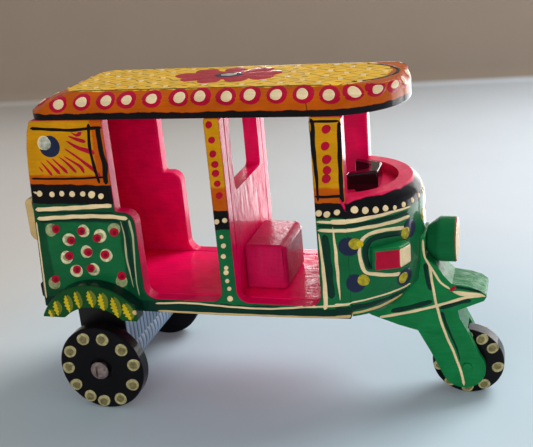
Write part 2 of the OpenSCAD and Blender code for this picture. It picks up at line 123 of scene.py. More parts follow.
# Painted shade in the grooves of the silver axle
GROOVE_SHADE_SILVER = (0.09, 0.10, 0.13)
STEEL = (0.42, 0.31, 0.28)

# Brush streaks that run up and down, or along the toy
UPRIGHT = (1.0, 1.0, 0.12)
LENGTHWISE = (0.12, 1.0, 1.0)
# Mottle of a colour: waves per millimetre, then the darkest and the brightest tone
MOTTLED = (0.16, 0.80, 1.10)
EVEN = (0.16, 0.90, 1.08)
SWIRLED = (0.8, 0.45, 1.25)

COAT_IOR = 1.18
COAT_ROUGHNESS = 0.04
UNDER_COAT_GLOSS = 0.04
# Least and most clear coat: 0 and less is none, 1 and more is full
COATED = (0.5, 1.0)
STREAKED = (-0.4, 1.4)
BROKEN = (-0.8, 0.8)
BARE = (0.0, 0.0)
# Depth of the brush marks where the bump is 1
BUMP_DEPTH = 0.12
# Noise seldom leaves this range
NOISE_RANGE = (0.25, 0.75)
# Colour sockets of a mix node
MIX_A = 6
MIX_B = 7
MIX_RESULT = 2


class Paint:
    """Builds one material from zones of colour under a coat of lacquer."""

    def __init__(self, name):
        self.material = bpy.data.materials.new(name)
        self.material.use_nodes = True
        self.nodes = self.material.node_tree.nodes
        self.links = self.material.node_tree.links
        self.nodes.clear()
        place = self.add("TexCoord", {})
        scale = self.add("VectorMath", {0: place.outputs["Object"], "Scale": 1 / MM}, operation="SCALE")
        self.mm = scale.outputs[0]
        parts = self.add("SeparateXYZ", {0: self.mm})
        self.s = self.math("SUBTRACT", parts.outputs["X"], REAR_X / MM)
        self.y = parts.outputs["Y"]
        self.z = parts.outputs["Z"]
        self.across = self.math("ABSOLUTE", self.y)
        facing = self.add("SeparateXYZ", {0: self.add("NewGeometry", {}).outputs["Normal"]})
        self.facing_x = facing.outputs["X"]
        self.facing_z = facing.outputs["Z"]

    def put(self, socket, value):
        """Links a socket, or sets a plain value on it."""
        if isinstance(value, bpy.types.NodeSocket):
            self.links.new(value, socket)
        elif isinstance(value, tuple) and len(value) == 3 and socket.type == "RGBA":
            socket.default_value = (*value, 1.0)
        else:
            socket.default_value = value

    def add(self, kind, inputs, **settings):
        """A new node with its settings made, then some of its inputs filled."""
        node = self.nodes.new(f"ShaderNode{kind}")
        for name, value in settings.items():
            setattr(node, name, value)
        for name, value in inputs.items():
            self.put(node.inputs[name], value)
        return node

    def math(self, operation, *values):
        return self.add("Math", dict(enumerate(values)), operation=operation).outputs[0]

    def minus(self, value):
        return self.math("MULTIPLY", value, -1.0)

    def flip(self, mask):
        return self.math("SUBTRACT", 1.0, mask)

    def rise(self, value, limit, soft=0.12):
        """0 below the limit and 1 above it."""
        low = self.math("SUBTRACT", limit, soft)
        high = self.math("ADD", limit, soft)
        limits = {"Value": value, "From Min": low, "From Max": high}
        return self.add("MapRange", limits, interpolation_type="SMOOTHSTEP").outputs[0]

    def between(self, value, low, high, soft=0.12):
        return self.both(self.rise(value, low, soft), self.flip(self.rise(value, high, soft)))

    def either(self, a, b):
        return self.math("MAXIMUM", a, b)

    def both(self, a, b):
        return self.math("MULTIPLY", a, b)

    def away(self, a, b):
        """Distance from two coordinates' zero."""
        return self.math("SQRT", self.math("ADD", self.both(a, a), self.both(b, b)))

    def noise(self, scale, detail=2.0, stretch=(1.0, 1.0, 1.0)):
        """Noise in millimetres: scale is waves per millimetre."""
        warp = self.add("Mapping", {"Vector": self.mm, "Scale": stretch})
        node = self.add("TexNoise", {"Vector": warp.outputs[0], "Scale": scale, "Detail": detail})
        return node.outputs[0]

    def spread(self, value, low, high):
        """Noise spread over a range."""
        source = {"Value": value, "From Min": NOISE_RANGE[0], "From Max": NOISE_RANGE[1]}
        return self.add("MapRange", {**source, "To Min": low, "To Max": high}).outputs[0]

    def wobbly(self, value, amount=0.5, scale=0.28):
        """A coordinate whose level lines waver like a brush line."""
        return self.math("ADD", value, self.spread(self.noise(scale), -amount, amount))

    def mix(self, factor, a, b, blend="MIX"):
        node = self.add("Mix", {0: factor, MIX_A: a, MIX_B: b}, data_type="RGBA", blend_type=blend)
        return node.outputs[MIX_RESULT]

    def shaded(self, colour, shade):
        """A colour times a grey."""
        grey = self.add("CombineColor", {channel: shade for channel in range(3)})
        return self.mix(1.0, colour, grey.outputs[0], "MULTIPLY")

    def aged(self, colour, streaks=LENGTHWISE, mottle=MOTTLED):
        """Uneven brushed colour with a few dark specks."""
        tone = self.spread(self.noise(mottle[0], 3.0), *mottle[1:])
        brush = self.spread(self.noise(1.6, 3.0, streaks), 0.90, 1.08)
        specks = self.spread(self.rise(self.noise(0.9, 4.0), 0.77, 0.01), 1.0, 0.75)
        return self.shaded(colour, self.both(self.both(tone, brush), specks))

    def finish(self, colour, rough=(0.30, 0.45), bump=0.30, streaks=LENGTHWISE, metal=0.0, coat=COATED,
               gloss=UNDER_COAT_GLOSS):
        """Lacquer: brushed and slightly wavy under a clear coat of uneven thickness."""
        ridges = self.noise(1.9, 4.0, streaks)
        waves = self.noise(0.20, 2.0)
        peel = self.noise(2.6, 2.0)
        height = self.math("ADD", self.both(ridges, 0.5), self.both(waves, 1.6))
        height = self.math("ADD", height, self.both(peel, 0.10))
        bumps = self.add("Bump", {"Strength": bump, "Distance": BUMP_DEPTH * MM, "Height": height})
        normal = bumps.outputs[0]
        shader = self.add("BsdfPrincipled", {
            "Base Color": colour,
            "Roughness": self.spread(self.noise(0.7, 3.0), *rough),
            "Metallic": metal,
            "Specular IOR Level": gloss,
            "Coat Weight": self.spread(self.noise(1.1, 3.0, streaks), *coat),
            "Coat Roughness": COAT_ROUGHNESS,
            "Coat IOR": COAT_IOR,
            "Normal": normal,
            "Coat Normal": normal,
        })
        self.add("OutputMaterial", {"Surface": shader.outputs[0]})
        return self.material


def lacquer(name, colour, mottle=MOTTLED, **finish):
    """One brushed lacquer colour."""
    paint = Paint(name)
    return paint.finish(paint.aged(colour, mottle=mottle), **finish)


# Heights of the painted bands, by board: rear quarter, middle pillar, front pillar
MIDDLE_FROM_S = 55.0
FRONT_FROM_S = 90.0
BAND_LOW = (71.6, 63.9, 68.3)
BAND_HIGH = (78.2, 70.2, 73.2)
ORANGE_HIGH = (81.3, 77.6, 78.0)
QUARTER_ORANGE_S = 31.2
# The brighter field behind the rosettes
FIELD_S = (9.4, 36.0)
FIELD_Z = (41.0, 65.2)


def by_board(paint, levels):
    """A height that differs between the three boards of a side."""
    middle = paint.rise(paint.s, MIDDLE_FROM_S)
    front = paint.rise(paint.s, FRONT_FROM_S)
    level = paint.math("ADD", levels[0], paint.both(middle, levels[1] - levels[0]))
    return paint.math("ADD", level, paint.both(front, levels[2] - levels[1]))


def banded(paint):
    """Green below, a black band, then orange and yellow."""
    z = paint.wobbly(paint.z, 0.3)
    s = paint.wobbly(paint.s, 0.4)
    field = paint.both(paint.between(s, *FIELD_S, 0.5), paint.between(z, *FIELD_Z, 0.4))
    field = paint.either(field, paint.rise(s, MIDDLE_FROM_S))
    green = paint.mix(field, FRAME_GREEN, GREEN)
    colour = paint.mix(paint.rise(z, FLOOR_Z - 0.6), DARK_GREEN, green)
    colour = paint.mix(paint.rise(z, by_board(paint, BAND_LOW)), colour, BLACK)
    colour = paint.mix(paint.rise(z, by_board(paint, BAND_HIGH)), colour, ORANGE)
    yellow = paint.rise(z, by_board(paint, ORANGE_HIGH), 0.5)
    strip = paint.between(s, QUARTER_ORANGE_S, MIDDLE_FROM_S, 0.6)
    return paint.mix(paint.both(yellow, paint.flip(strip)), colour, YELLOW)


# The rear edge of a side lies behind this station
REAR_EDGE_S = 13.0


def side_lacquer():
    """Side panels: bands outside, crimson inside and round the openings."""
    paint = Paint("side_lacquer")
    faces_back = paint.rise(paint.minus(paint.facing_x), 0.5, 0.2)
    rear_edge = paint.both(faces_back, paint.flip(paint.rise(paint.s, REAR_EDGE_S)))
    at_joint = paint.rise(paint.s, station(JOINT_X) - 0.3, 0.1)
    joint = paint.both(at_joint, paint.flip(paint.rise(paint.z, RIM_Z)))
    face = paint.rise(paint.across, HALF_W / MM - 0.45, 0.1)
    outside = paint.either(face, paint.either(rear_edge, joint))
    colour = paint.mix(outside, RED, banded(paint))
    return paint.finish(paint.aged(colour), bump=0.5)


def back_lacquer():
    """Back panel: bands behind, crimson towards the seat."""
    paint = Paint("back_lacquer")
    outside = paint.rise(paint.minus(paint.facing_x), 0.2, 0.15)
    return paint.finish(paint.aged(paint.mix(outside, RED, banded(paint))))


RIM_SETBACK = 8.0
WELL_R = HALF_W / MM - 5.4
WELL_FLOOR_Z = RIM_Z - 4.5
# The pink of the rim hangs over its edge, most at the rear
RIM_HANG = 1.7
RIM_HANG_RISE = 0.28


def nose_lacquer():
    """Nose: green, a black shoulder band, pink rim and well."""
    paint = Paint("nose_lacquer")
    z = paint.wobbly(paint.z, 0.3)
    colour = paint.mix(paint.rise(z, BAND_LOW[2] + 0.1), GREEN, BLACK)
    flat_top = paint.both(paint.rise(paint.facing_z, 0.75, 0.1), paint.rise(paint.z, RIM_Z - 2.0))
    behind = paint.math("SUBTRACT", paint.s, station(JOINT_X))
    hang_z = paint.math("ADD", RIM_Z - RIM_HANG, paint.both(behind, RIM_HANG_RISE))
    rim = paint.either(flat_top, paint.rise(z, paint.math("MINIMUM", hang_z, RIM_Z - 0.4), 0.2))
    well_s = station(NOSE_X) - RIM_SETBACK - WELL_R
    from_well = paint.away(paint.math("SUBTRACT", paint.s, well_s), paint.y)
    well = paint.both(paint.flip(paint.rise(from_well, WELL_R + 0.5)), paint.rise(paint.z, WELL_FLOOR_Z))
    return paint.finish(paint.aged(paint.mix(paint.either(rim, well), colour, PINK)))


# Lattice of the roof: size of a field along and across, and half width of a line as a share of it
LATTICE_S = 12.0
LATTICE_Y = 8.4
LATTICE_LINE = 0.026
# Radius of the yellow at its front, depth of the top, and height of the black edge
BORDER_R = 17.4
TOP_DEPTH = 0.28
BLACK_EDGE = 2.1


def roof_lacquer():
    """Roof: yellow top with an olive lattice, orange sides over a black edge."""
    paint = Paint("roof_lacquer")
    s = paint.wobbly(paint.s, 0.5, 0.2)
    y = paint.wobbly(paint.y, 0.5, 0.23)
    lines = 0.0
    for turn in (1.0, -1.0):
        turned = paint.both(paint.math("DIVIDE", y, LATTICE_Y), turn)
        cross = paint.math("ADD", paint.math("DIVIDE", s, LATTICE_S), turned)
        fold = paint.math("PINGPONG", cross, 0.5)
        lines = paint.either(lines, paint.flip(paint.rise(fold, LATTICE_LINE, 0.008)))
    top = paint.mix(lines, ROOF_YELLOW, LATTICE_OLIVE)
    ahead = paint.math("MAXIMUM", paint.math("SUBTRACT", paint.s, station(ROOF_CENTRE_X)), 0.0)
    past_border = paint.rise(paint.wobbly(paint.away(ahead, paint.y)), BORDER_R)
    front = paint.both(past_border, paint.rise(ahead, 0.5))
    top = paint.mix(front, top, ORANGE)
    z = paint.wobbly(paint.z, 0.25)
    colour = paint.mix(paint.rise(z, ROOF_Z - TOP_DEPTH, 0.15), ORANGE, top)
    colour = paint.mix(paint.rise(z, WALL_Z + BLACK_EDGE), BLACK, colour)
    under = paint.rise(paint.minus(paint.facing_z), 0.8, 0.1)
    return paint.finish(paint.aged(paint.mix(under, colour, RED)))


# Share of the side lamp's length that is green at its rear
LAMP_GREEN = 0.27
# Width of the headlamp's red rim, and of the strip on a tail lamp
LAMP_RIM = 0.35
TAIL_STRIP = 1.6


def side_lamp_lacquer():
    """Side lamp: red outer face, cream front face, and a green top painted brighter as painted light."""
    paint = Paint("side_lamp_lacquer")
    low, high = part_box("side_lamp_left")
    front = paint.rise(paint.facing_x, 0.6, 0.05)
    green_s = station(low.x) + (high.x - low.x) / MM * LAMP_GREEN
    panel = paint.rise(paint.wobbly(paint.s, 0.3), green_s)
    # Painted light: the top takes a brighter green than the rest of the lamp
    top = paint.rise(paint.facing_z, 0.4, 0.15)
    colour = paint.mix(panel, GREEN, LAMP_RED)
    colour = paint.mix(front, colour, CREAM)
    colour = paint.mix(top, colour, BRIGHT_GREEN)
    return paint.finish(paint.aged(colour))


def headlamp_lacquer():
    """Headlamp: green, with a red and cream front."""
    paint = Paint("headlamp_lacquer")
    front_s = station(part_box("headlamp")[1].x)
    s = paint.wobbly(paint.s, 0.2)
    colour = paint.mix(paint.rise(s, front_s - LAMP_RIM), GREEN, DOT_RED)
    colour = paint.mix(paint.rise(paint.facing_x, 0.9, 0.05), colour, CREAM)
    return paint.finish(paint.aged(colour), coat=BROKEN)


def tail_lamp_lacquer():
    """Tail lamp: tan, with a dark green strip next to the body."""
    paint = Paint("tail_lamp_lacquer")
    strip_s = station(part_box("tail_lamp_left")[1].x) - TAIL_STRIP
    strip = paint.rise(paint.wobbly(paint.s, 0.3), strip_s)
    return paint.finish(paint.aged(paint.mix(strip, TAN, DARK_GREEN)))


def fender_lacquer():
    """Fender: mid green face, dark green top."""
    paint = Paint("fender_lacquer")
    face = paint.rise(paint.across, FENDER_Y / MM - 0.6, 0.3)
    return paint.finish(paint.aged(paint.mix(face, DARK_GREEN, FENDER_GREEN)), bump=0.5)


# Grooves of the axle, darkened by painted shade: distance between them, and where one lies
GROOVE_PITCH = 2.7
GROOVE_Y = 0.81
# Silver reaches this far to each side
SILVER_HALF_W = 21.0


def axle_lacquer():
    """Axle drum and block: silver ridges in front with painted shade in the grooves between them, black
    behind and at the ends.
    """
    paint = Paint("axle_lacquer")
    from_groove = paint.math("SUBTRACT", paint.y, GROOVE_Y)
    fold = paint.math("PINGPONG", paint.math("DIVIDE", from_groove, GROOVE_PITCH), 0.5)
    # Painted shade: the grooves are darkened
    silver = paint.mix(paint.rise(fold, 0.15, 0.09), GROOVE_SHADE_SILVER, SILVER)
    middle = paint.flip(paint.rise(paint.across, SILVER_HALF_W))
    front = paint.both(paint.rise(paint.facing_x, 0.15, 0.15), middle)
    colour = paint.aged(paint.mix(front, BLACK, silver), UPRIGHT)
    return paint.finish(colour, rough=(0.35, 0.5), coat=(0.2, 0.6), gloss=0.4, streaks=UPRIGHT)


# Ornament colours that are even, and those that swirl from dark to light
PLAIN_COLOURS = {
    "dark_green": DARK_GREEN,
    "dot_red": DOT_RED,
    "lattice_olive": LATTICE_OLIVE,
    "deep_red": (0.20, 0.002, 0.014),
    "pale_sage": (0.42, 0.42, 0.24),
    "navy": (0.014, 0.020, 0.050),
    "leaf_yellow": (0.56, 0.41, 0.010),
    "olive": (0.13, 0.16, 0.02),
}
SWIRLED_COLOURS = {
    "dark_khaki": (0.20, 0.17, 0.07),
    "sage": (0.30, 0.34, 0.16),
    "disc_cream": (0.68, 0.62, 0.36),
    "khaki": (0.42, 0.36, 0.18),
    "pale_grey": (0.46, 0.46, 0.36),
    "disc_yellow": (0.42, 0.34, 0.02),
}
CHALKY = (0.35, 0.5)
MATERIALS = {
    "red": lacquer("red_lacquer", RED, bump=0.9, streaks=UPRIGHT, coat=STREAKED),
    # Painted light: the cabin floor takes a lighter copy of the crimson
    "red_lit_floor": lacquer("red_lit_floor_lacquer", RED_LIT_FLOOR, EVEN, bump=0.6, coat=STREAKED),
    # Painted shade: the driver's seat takes a darker copy of the crimson
    "red_shaded_seat": lacquer("red_shaded_seat_lacquer", RED_SHADED_SEAT, bump=0.9, streaks=UPRIGHT, coat=STREAKED),
    "green": lacquer("green_lacquer", BRIGHT_GREEN, bump=0.6, coat=STREAKED),
    "black": lacquer("black_lacquer", BLACK, bump=0.2),
    "bright_black": lacquer("bright_black_lacquer", BLACK, bump=0.2, rough=(0.05, 0.12), gloss=0.5),
    "cream": lacquer("cream_lacquer", CREAM, rough=CHALKY),
    "tan": lacquer("tan_lacquer", TAN, rough=CHALKY),
    "steel": lacquer("screw_steel", STEEL, SWIRLED, rough=(0.4, 0.6), metal=0.8, coat=BARE, gloss=0.5),
    "side": side_lacquer(),
    "back": back_lacquer(),
    "nose": nose_lacquer(),
    "roof": roof_lacquer(),
    "side_lamp": side_lamp_lacquer(),
    "headlamp": headlamp_lacquer(),
    "tail_lamp": tail_lamp_lacquer(),
    "fender": fender_lacquer(),
    "axle": axle_lacquer(),
}
for name, colour in PLAIN_COLOURS.items():
    MATERIALS[name] = lacquer(f"{name}_lacquer", colour)
for name, colour in SWIRLED_COLOURS.items():
    MATERIALS[name] = lacquer(f"{name}_lacquer", colour, SWIRLED)

# Material and rounding of each board's edges
BOARDS = {
    "floor_board": ("red_lit_floor", 0.3), "side_panel_left": ("side", 0.7), "side_panel_right": ("side", 0.7),
    "back_panel": ("back", 0.5), "partition": ("red", 0.25), "roof": ("roof", 0.9),
    "driver_seat": ("red_shaded_seat", 1.2), "rear_seat": ("red", 0.6), "nose": ("nose", 0.6),
    "dash": ("bright_black", 0.5), "front_fork": ("green", 1.0), "headlamp": ("headlamp", 0.6),
    "side_lamp_left": ("side_lamp", 1.0), "side_lamp_right": ("side_lamp", 1.0),
    "fender_left": ("fender", 1.1), "fender_right": ("fender", 1.1), "axle_block": ("axle", 0),
    "tail_lamp_left": ("tail_lamp", 1.7), "tail_lamp_right": ("tail_lamp", 1.7),
    "rear_bumper": ("black", 0.5), "rear_axle": ("axle", 0),
    "screw_left": ("steel", 0.12), "screw_right": ("steel", 0.12), "front_axle_pin": ("green", 0.2),
    "wheel_rear_left": ("black", 0.5), "wheel_rear_right": ("black", 0.5), "wheel_front": ("black", 0.5),
}
FLAT_ANGLE = math.radians(1.2)
SHARP_ANGLE = math.radians(42)
BEVEL_ANGLE = math.radians(28)
BEVEL_STEPS = 3
PAINT_SHARP_ANGLE = math.radians(75)
# Corners closer than this are one corner
WELD = 0.02 * MM
# An edge this near to the joint of nose and side panel, and to their outer face, is left unrounded
JOINT_NEAR = 0.05 * MM
JOINT_DEPTH = 0.5 * MM


def new_object(name, data):
    """A new object in the scene."""
    thing = bpy.data.objects.new(name, data)
    bpy.context.scene.collection.objects.link(thing)
    return thing


def on_joint(edge):
    """True for the outer edges where the nose is glued flush to a side panel."""
    at_joint = all(abs(v.co.x - JOINT_X) < JOINT_NEAR for v in edge.verts)
    return at_joint and all(abs(v.co.y) > HALF_W - JOINT_DEPTH for v in edge.verts)


def smooth_copy(name):
    """The mesh of a node with its flat faces joined, smooth curves and its edges to be rounded marked."""
    mesh = NODES[name].data.copy()
    mesh.name = f"{name}_shape"
    shape = bmesh.new()
    shape.from_mesh(mesh)
    bmesh.ops.remove_doubles(shape, verts=shape.verts, dist=WELD)
    bmesh.ops.dissolve_limit(shape, angle_limit=FLAT_ANGLE, verts=shape.verts, edges=shape.edges)
    bmesh.ops.recalc_face_normals(shape, faces=shape.faces)
    rounded = shape.edges.layers.float.new("bevel_weight_edge")
    for edge in shape.edges:
        if edge.is_manifold and edge.calc_face_angle() > BEVEL_ANGLE and not on_joint(edge):
            edge[rounded] = 1.0
    shape.to_mesh(mesh)
    shape.free()
    mesh.shade_smooth()
    mesh.set_sharp_from_angle(angle=SHARP_ANGLE)
    return mesh


def dress(name, material, rounding):
    """A board with rounded edges that stands for its node."""
    mesh = smooth_copy(name)
    mesh.materials.clear()
    mesh.materials.append(MATERIALS[material])
    board = new_object(f"painted_{name}", mesh)
    if rounding:
        bevel = board.modifiers.new("rounded_edges", "BEVEL")
        bevel.width = rounding * MM
        bevel.segments = BEVEL_STEPS
        bevel.limit_method = "WEIGHT"
        bevel.miter_outer = "MITER_ARC"
        shading = board.modifiers.new("even_shading", "WEIGHTED_NORMAL")
        shading.keep_sharp = True
    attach(board, BODY_OF[name])
    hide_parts(name)
    return board


def tree_of(board):
    """Rays for placing paint on a board."""
    return BVHTree.FromObject(board, bpy.context.evaluated_depsgraph_get())


boards = {name: dress(name, *look) for name, look in BOARDS.items()}
TREES = {name: tree_of(board) for name, board in boards.items()}

# Raised paint, one mesh for each colour on each body
# How far out a ray starts that places paint
RAY_OUT = 0.09
layers = {}


def layer(colour, body="body"):
    """The mesh that collects the paint of one colour on one body."""
    if (colour, body) not in layers:
        layers[colour, body] = bmesh.new()
    return layers[colour, body]


def cast(tree, spot, outward):
    """Where paint aimed at a spot lands on a board, and which way is out there."""
    found, normal, _, _ = tree.ray_cast(spot + outward * RAY_OUT, -outward)
    if found is None:
        found, normal, _, _ = tree.find_nearest(spot)
    if normal.dot(outward) < 0:
        normal = -normal
    return found, normal


def flat_side(name, side, y):
    """A board's outer face: station and height."""
    outward = Vector((0, side, 0))
    return lambda s, z: cast(TREES[name], Vector((at(s), side * y, z * MM)), outward)


def seen_from(name, outward, level):
    """A face seen from the front or rear: width and height."""
    return lambda y, z: cast(TREES[name], Vector((level, y * MM, z * MM)), outward)


def from_above(name):
    """A board's top: station and width."""
    up = Vector((0, 0, 1))
    return lambda s, y: cast(TREES[name], Vector((at(s), y * MM, ROOF_Z * MM)), up)


def round_end(name, side, centre_x, radius=HALF_W):
    """A half-round end: distance round it from the side, and height."""
    def place(arc, z):
        angle = arc * MM / radius
        outward = Vector((math.sin(angle), side * math.cos(angle), 0))
        return cast(TREES[name], Vector((centre_x, 0, z * MM)) + outward * radius, outward)
    return place


def wheel_face(name, side):
    """Outer face of a wheel, from its centre: forward and up."""
    low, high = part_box(name)
    centre = (low + high) / 2
    face_y = high.y if side > 0 else low.y
    outward = Vector((0, side, 0))
    return lambda u, v: cast(TREES[name], Vector((centre.x + u * MM, face_y, centre.z + v * MM)), outward)


DOT_SIDES = 20
DOT_H = 0.20
LINE_H = 0.13
# How deep the foot of the paint is let into the wood
SUNK = 0.12
# Share of the radius and share of the height, from the middle to the foot
DOT_RINGS = ((0.5, 0.97), (0.8, 0.85), (0.94, 0.5), (1.0, 0.0), (0.96, -1.0))
# The same across a brush line
LINE_SECTION = ((-1.0, 0.0), (-0.75, 0.75), (0.0, 1.0), (0.75, 0.75), (1.0, 0.0), (0.9, -1.0), (-0.9, -1.0))
# How far a drop is out of round
UNEVEN = (0.03, 0.02)
# Lean of the drops on the sides and the wheels
LEAN = 0.16


def lifted(on, lift, height):
    """Height over the wood of a ring of paint that lies on other paint."""
    return (on + lift * height if lift >= 0 else -SUNK) * MM


def dot(colour, place, u, v, r, height=DOT_H, stretch=1.0, body="body", on=0.0, lean=0.0):
    """A drop of paint, a little out of round. Its lean is how far it runs along as it rises."""
    mesh = layer(colour, body)
    phase = RNG.uniform(0, 2 * math.pi)
    spot, normal = place(u, v)
    middle = mesh.verts.new(spot + normal * lifted(on, 1.0, height))
    rings = []
    for share, lift in DOT_RINGS:
        ring = []
        for k in range(DOT_SIDES):
            a = 2 * math.pi * k / DOT_SIDES
            uneven = UNEVEN[0] * math.sin(2 * a + phase) + UNEVEN[1] * math.sin(3 * a - phase)
            reach = r * share * (1 + uneven)
            along = reach * (stretch * math.cos(a) + lean * math.sin(a))
            spot, normal = place(u + along, v + reach * math.sin(a))
            ring.append(mesh.verts.new(spot + normal * lifted(on, lift, height)))
        rings.append(ring)
    for k in range(DOT_SIDES):
        j = (k + 1) % DOT_SIDES
        mesh.faces.new((middle, rings[0][k], rings[0][j]))
        for inner, outer in zip(rings, rings[1:]):
            mesh.faces.new((inner[k], outer[k], outer[j], inner[j]))
    mesh.faces.new(rings[-1])


def curve_through(points, step):
    """A smooth path through points, in short steps."""
    ends = [2 * Vector(points[0]) - Vector(points[1]), 2 * Vector(points[-1]) - Vector(points[-2])]
    p = [ends[0], *map(Vector, points), ends[1]]
    path = []
    for a, b, c, d in zip(p, p[1:], p[2:], p[3:]):
        count = max(2, int((c - b).length / step))
        for k in range(count):
            t = k / count
            path.append(0.5 * (2 * b + (c - a) * t + (2 * a - 5 * b + 4 * c - d) * t * t
                               + (3 * b - a - 3 * c + d) * t ** 3))
    path.append(p[-2])
    return path


def blunt(share):
    """Brush line of even width."""
    return 1.0


def leaf(share):
    """Brush line that swells in the middle."""
    return 0.12 + 0.88 * math.sin(math.pi * min(1, max(0, share))) ** 0.8


def tail(share):
    """Brush line that starts full and runs out thin."""
    return 1.0 - 0.7 * share


def swell(share):
    """Brush line that starts thin and ends full."""
    return 0.35 + 0.65 * min(1, share * 1.4)


# Ripple of a line's edges: share of its half width, and radians per millimetre
BRUSH = (0.10, 0.9)
COMB = (0.34, 5.2)
LINE_STEP = 0.7
COMB_STEP = 0.2


def line(colour, place, points, width, form=blunt, height=LINE_H, on=0.0, ripple=BRUSH, step=LINE_STEP):
    """A brush line with round ends through points on a surface."""
    mesh = layer(colour)
    path = curve_through(points, step)
    lengths = [0.0]
    for a, b in zip(path, path[1:]):
        lengths.append(lengths[-1] + (b - a).length)
    total = lengths[-1]
    phases = [RNG.uniform(0, 2 * math.pi) for _ in range(2)]
    rows = []
    for i, spot in enumerate(path):
        along = path[min(i + 1, len(path) - 1)] - path[max(i - 1, 0)]
        across = Vector((-along.y, along.x)).normalized()
        half = width / 2 * form(lengths[i] / total)
        to_end = min(lengths[i], total - lengths[i]) / max(half, 0.05)
        if to_end < 1:
            half *= max(0.3, math.sqrt(1 - (1 - to_end) ** 2))
        row = []
        for side, lift in LINE_SECTION:
            wander = 1 + ripple[0] * math.sin(lengths[i] * ripple[1] + phases[side > 0])
            found, normal = place(*(spot + across * side * half * wander))
            row.append(mesh.verts.new(found + normal * lifted(on, lift, height)))
        rows.append(row)
    n = len(LINE_SECTION)
    for a, b in zip(rows, rows[1:]):
        for k in range(n):
            mesh.faces.new((a[k], a[(k + 1) % n], b[(k + 1) % n], b[k]))
    mesh.faces.new(rows[0])
    mesh.faces.new(rows[-1][::-1])


def jitter(amount):
    return RNG.uniform(-amount, amount)


def strokes(face, table, **paint):
    """Brush lines from rows of colour, width, points and, where it isn't blunt, form."""
    for colour, width, points, *form in table:
        line(colour, face, points, width, *form, **paint)


def panel_name(side):
    return f"side_panel_{'left' if side > 0 else 'right'}"


# Heights of thin paint, of a crimson drop, and of a heart of another shade on a drop
THIN_H = 0.08
CRIMSON_H = 0.15
HEART_H = 0.03

# Rear quarter, in station and height: the disc, then the drop on it
ROSETTES = (
    (23.1, 62.3, 22.4, 62.3), (28.8, 60.7, 27.7, 60.0), (17.3, 59.1, 18.1, 58.9), (23.0, 55.0, 23.6, 54.9),
    (15.3, 52.7, 16.4, 53.3), (29.9, 53.9, 29.6, 54.2), (18.1, 47.9, 18.4, 48.5), (24.5, 48.7, 23.6, 49.1))
CORNER_ROSETTES = (
    (11.4, 62.4, 13.2, 62.8), (34.2, 63.2, 34.1, 62.2), (8.9, 43.1, 9.7, 44.6), (34.0, 44.8, 34.4, 46.8))
DISC_R = 2.25
DISC_HEART_R = 1.3
ROSETTE_DROP_R = 1.55
ROSETTE_DROP_H = 0.14
ROSETTE_DROP_ON = 0.12
ROSETTE_HEART_R = 0.7
# Station, height and radius
QUARTER_DROPS = (
    (9.5, 75.0, 1.05), (14.0, 74.8, 1.0), (17.6, 75.1, 0.95), (21.3, 75.0, 1.05), (25.1, 75.1, 0.95),
    (28.2, 74.9, 1.25), (31.4, 74.4, 1.0))
MOON = (16.2, 90.8)
# Discs of the moon: colour, place from its middle, radius, height, and the height of what is under it
MOON_DISCS = (
    ("navy", 0.0, 0.0, 3.6, LINE_H, 0.0),
    ("cream", -1.9, 1.3, 2.3, 0.12, 0.08),
    ("pale_grey", -1.5, 1.1, 2.2, 0.12, 0.16))
# Width and points
RAY_SWELL = 1.35
RAYS = (
    (0.55, ((11.0, 84.2), (12.2, 82.4))),
    (0.75, ((12.0, 85.8), (13.7, 83.6), (15.3, 81.1))),
    (0.85, ((14.1, 86.5), (16.1, 84.3), (18.3, 81.7))),
    (0.85, ((16.3, 86.9), (19.2, 83.9), (21.0, 82.0))),
    (0.80, ((18.8, 87.5), (21.8, 84.9), (24.1, 82.2))),
    (0.85, ((20.7, 87.6), (24.0, 85.5), (26.1, 83.9), (26.8, 82.1))),
    (0.95, ((21.3, 90.2), (26.3, 86.5), (30.2, 83.2), (32.3, 80.9))),
    (1.25, ((22.4, 92.6), (26.0, 90.5), (31.5, 88.6))),
    (1.00, ((23.3, 94.2), (26.2, 93.1), (29.1, 92.3))),
    (0.90, ((24.5, 95.4), (26.2, 94.4), (28.1, 95.4))))
# Brush lines: colour, width, points and, where it isn't blunt, form
FRAME_ON = 0.03
QUARTER_FRAME = (
    ("black", 1.0, ((10.4, 96.8), (17.5, 96.4), (24.9, 96.1), (30.8, 96.6), (35.4, 96.8))),
    ("black", 0.7, ((7.6, 80.1), (16.6, 80.1), (25.2, 80.3), (33.6, 80.8))),
    ("black", 1.1, ((31.0, 98.1), (30.2, 90.9), (30.7, 84.0), (31.6, 78.7))),
    ("black", 1.7, ((34.0, 96.9), (33.8, 90.9), (34.3, 85.0), (33.8, 78.4))))
QUARTER_LINES = (
    ("cream", 0.8, ((7.4, 75.6), (8.4, 75.2), (9.4, 75.0))),
    ("cream", 1.4, ((7.0, 69.4), (21.4, 70.3), (33.3, 71.2), (34.4, 71.0))),
    ("dark_green", 0.7, ((7.1, 68.3), (21.1, 68.6), (34.7, 68.8))),
    ("cream", 1.35, ((7.0, 66.2), (14.7, 66.8), (23.9, 67.4), (32.7, 67.5), (39.5, 67.0))),
    ("dark_green", 0.9, ((7.7, 65.0), (17.6, 65.9), (32.5, 66.2), (36.3, 65.7))),
    ("pale_sage", 0.7, ((36.9, 66.1), (37.5, 60.8), (37.1, 53.5), (37.6, 47.7), (38.0, 42.8)), leaf),
    ("dark_green", 1.5, ((38.3, 65.9), (38.5, 55.0), (38.5, 46.2))),
    ("pale_sage", 0.9, ((39.9, 66.5), (40.4, 60.9), (39.8, 52.2), (39.4, 44.8), (39.7, 40.0)), tail),
    ("cream", 0.55, ((6.4, 65.0), (6.0, 58.2), (5.4, 47.9), (4.8, 37.4))))


